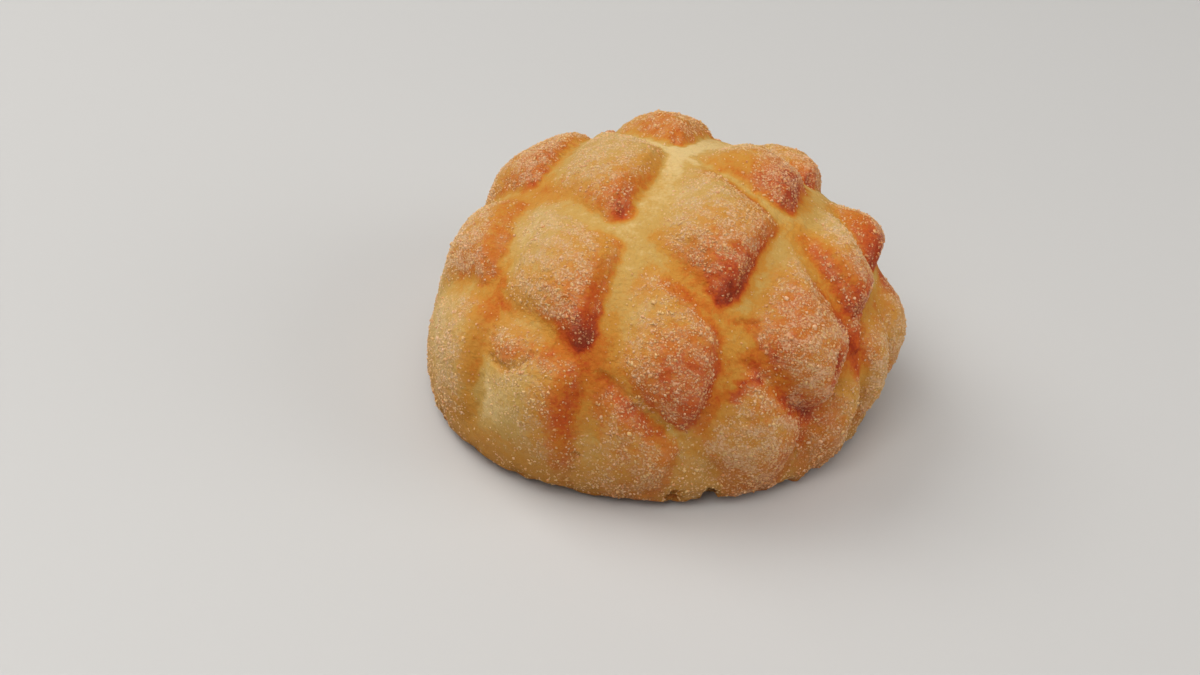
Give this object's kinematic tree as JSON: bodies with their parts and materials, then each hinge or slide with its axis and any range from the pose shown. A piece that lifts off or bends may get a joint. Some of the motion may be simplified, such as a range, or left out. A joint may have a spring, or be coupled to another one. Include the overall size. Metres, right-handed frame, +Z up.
{
  "type": "melon bread",
  "caption": "Domed sweet bun with a flat base, under a biscuit crust scored into a lattice of raised diamonds and dusted with coarse sugar.",
  "frame": {"origin": "middle of the flat base, on the surface that the bun lies on", "axes": "+Z up through the dome, +X to the right and +Y away from someone facing the shown side"},
  "size_m": [0.1086, 0.1088, 0.057],
  "materials": {
    "crust": "baked biscuit crust, pale in the scores and browned at the tips, dusted with coarse sugar"
  },
  "bodies": {
    "root": {"melon_bread": "crust"}
  },
  "joints": []
}
